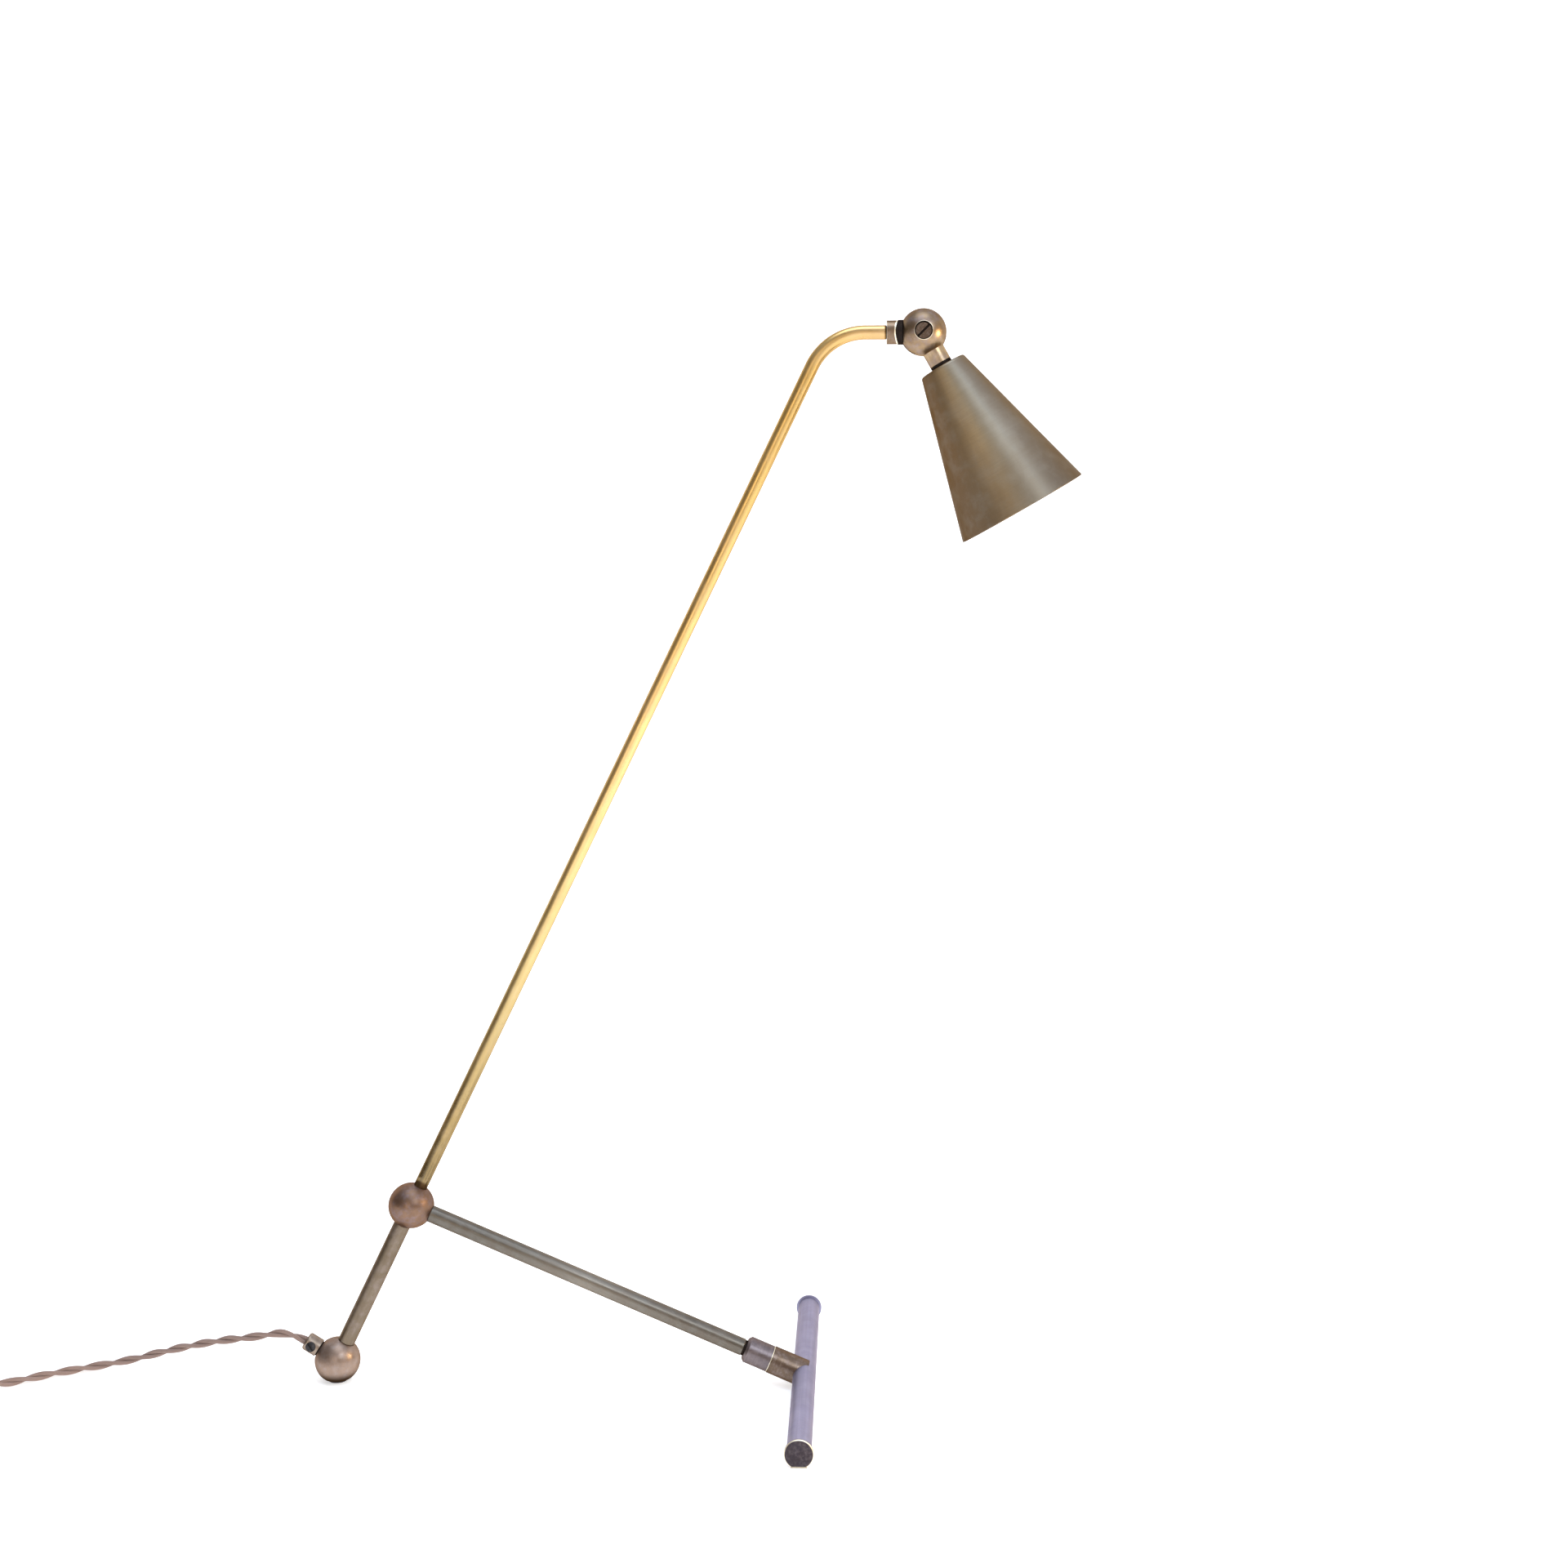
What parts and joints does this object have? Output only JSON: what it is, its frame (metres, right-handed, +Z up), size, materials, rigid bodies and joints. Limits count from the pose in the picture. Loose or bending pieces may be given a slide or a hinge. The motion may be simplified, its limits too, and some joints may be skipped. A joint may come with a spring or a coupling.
{
  "type": "table lamp",
  "caption": "Brass table lamp: bent tube arm on drilled balls, angled leg with a crossbar foot, small conical shade on a slotted knuckle, twisted cloth cord.",
  "frame": {"origin": "on the table under the middle of the crossbar, at the underside of its felt", "axes": "+Z up; +X from the rear ball towards the shade; Y along the crossbar"},
  "size_m": [0.8172, 0.244, 0.6323],
  "materials": {
    "ball_brass": "turned and polished, darkened with age",
    "tube_brass": "drawn tube, satin, darkened with age",
    "leg_brass": "drawn tube, satin, greenish with age",
    "collar_brass": "turned, satin",
    "stub_brass": "turned, satin, dark",
    "bar_brass": "drawn tube, satin",
    "cap_brass": "turned face, dark",
    "shade_brass": "spun sheet, brushed round, satin",
    "screw_brass": "turned, slotted",
    "thread_brass": "plain turned",
    "dark_washer": "blackened",
    "screw_steel": "zinc plated",
    "black_nylon": "moulded",
    "black_rubber": "moulded",
    "felt": "pressed felt",
    "cord_cloth": "braided cloth, dusty beige",
    "tie_cloth": "woven strap",
    "lead_sleeve": "sleeved",
    "dark_bakelite": "pressed phenolic",
    "ivory_plastic": "moulded",
    "white_ceramic": "glazed",
    "bulb_metal": "rolled thread",
    "bulb_glass": "frosted"
  },
  "bodies": {
    "stand": {"foot_ball": "ball_brass", "foot_pad": "black_rubber", "lower_tube": "tube_brass", "foot_nipple": "thread_brass", "hub_lower_nipple": "thread_brass", "hub_ball": "ball_brass", "arm_nipple": "thread_brass", "arm_tube": "tube_brass", "arm_leads": "lead_sleeve", "leg_tube": "leg_brass", "leg_hub_stud": "thread_brass", "leg_foot_stud": "thread_brass", "lock_washer": "dark_washer", "lock_collar": "collar_brass", "tee_stub": "stub_brass", "crossbar": "bar_brass", "end_cap_front": "cap_brass", "end_cap_rear": "cap_brass", "felt_strip": "felt", "grip_washer": "dark_washer", "cord_grip": "collar_brass", "grip_screw": "black_nylon", "swivel_post": "thread_brass", "swivel_washer": "dark_washer", "swivel_nut": "thread_brass", "power_cord": "cord_cloth", "switch_base": "dark_bakelite", "switch_cover": "dark_bakelite", "switch_screws": "screw_steel", "switch_contacts": "thread_brass", "rocker_pins": "screw_steel", "power_cord_tail": "cord_cloth", "cord_coil": "cord_cloth", "coil_tie": "tie_cloth", "plug_lead": "cord_cloth", "plug_body": "dark_bakelite", "plug_face": "dark_bakelite", "plug_blades": "thread_brass"},
    "swivel": {"swivel_collar": "collar_brass", "knuckle_tongue": "dark_washer"},
    "head": {"knuckle_ball": "ball_brass", "friction_washers": "dark_washer", "pivot_screw": "screw_brass", "neck_ring": "dark_washer", "shade": "shade_brass", "shade_nipple": "thread_brass", "shade_nut": "thread_brass", "holder_cap": "dark_bakelite", "holder_sleeve": "dark_bakelite", "holder_core": "white_ceramic", "threaded_shell": "thread_brass", "centre_contact": "thread_brass", "bulb_base": "bulb_metal", "bulb_glass": "bulb_glass", "head_leads": "lead_sleeve"},
    "rocker": {"switch_rocker": "ivory_plastic"}
  },
  "joints": [
    {"name": "head_swivel", "type": "hinge", "parent": "stand", "child": "swivel", "pos_m": [0.06763, 0, 0.61896], "axis": [1, 0, 0], "range_deg": [-150, 150]},
    {"name": "head_tilt", "type": "hinge", "parent": "swivel", "child": "head", "pos_m": [0.06763, 0, 0.61896], "axis": [0, 0.999, 0.0436], "range_deg": [-150, 29]},
    {"name": "rocker_tilt", "type": "hinge", "parent": "stand", "child": "rocker", "pos_m": [-0.5322, -0.0632, 0.0118], "axis": [0.6, -0.8, 0], "range_deg": [-16, 0]}
  ]
}
